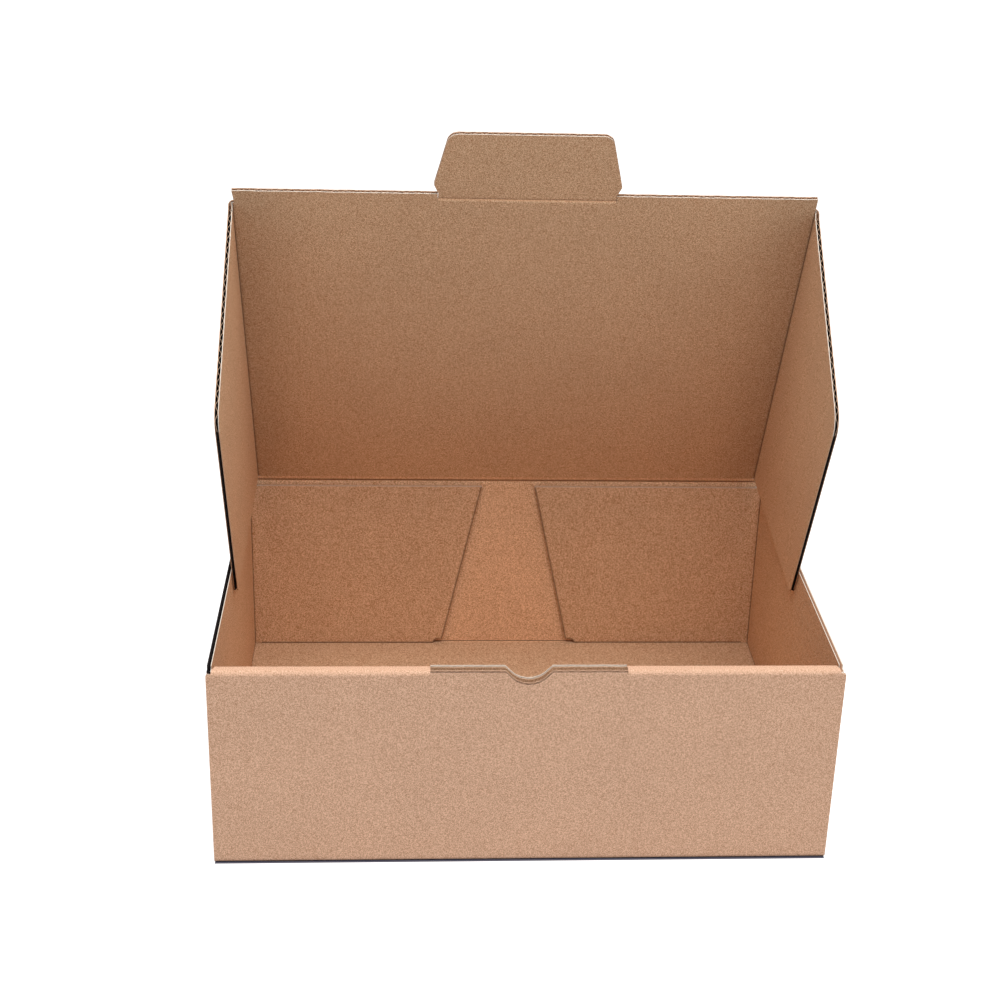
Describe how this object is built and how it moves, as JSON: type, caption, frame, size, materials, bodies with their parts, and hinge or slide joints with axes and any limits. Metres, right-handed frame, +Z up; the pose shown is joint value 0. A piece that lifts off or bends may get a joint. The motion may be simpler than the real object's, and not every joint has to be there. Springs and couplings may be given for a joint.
{
  "type": "corrugated mailer box",
  "caption": "Folded corrugated mailer box standing open, with a rolled front wall, a hinged lid with slanted side flaps, and a tuck tab.",
  "frame": {"origin": "middle of the box's bottom, on the surface it stands on", "axes": "+Z up, +X to the right as seen from the front, -Y out of the front face with the thumb notch"},
  "size_m": [0.366, 0.262, 0.4086],
  "materials": {
    "tray_board": "uncoated brown kraft, matte",
    "lid_board": "uncoated brown kraft, matte",
    "tab_board": "uncoated brown kraft, matte",
    "flap_board": "uncoated brown kraft, matte"
  },
  "bodies": {
    "tray": {"tray": "tray_board"},
    "lid": {"lid": "lid_board"},
    "tuck_tab": {"tuck_tab": "tab_board"},
    "lid_flap_left": {"lid_flap_left": "flap_board"},
    "lid_flap_right": {"lid_flap_right": "flap_board"}
  },
  "joints": [
    {"name": "lid_hinge", "type": "hinge", "parent": "tray", "child": "lid", "pos_m": [0, 0.1297, 0.1316], "axis": [-1, 0, 0], "range_deg": [-65, 115]},
    {"name": "tab_crease", "type": "hinge", "parent": "lid", "child": "tuck_tab", "pos_m": [0, 0.0213, 0.36407], "axis": [1, 0, 0], "range_deg": [0, 90]},
    {"name": "left_flap_crease", "type": "hinge", "parent": "lid", "child": "lid_flap_left", "pos_m": [-0.1743, 0.12852, 0.13105], "axis": [0, -0.4226, 0.9063], "range_deg": [0, 84]},
    {"name": "right_flap_crease", "type": "hinge", "parent": "lid", "child": "lid_flap_right", "pos_m": [0.1743, 0.12852, 0.13105], "axis": [0, 0.4226, -0.9063], "range_deg": [0, 84]}
  ]
}
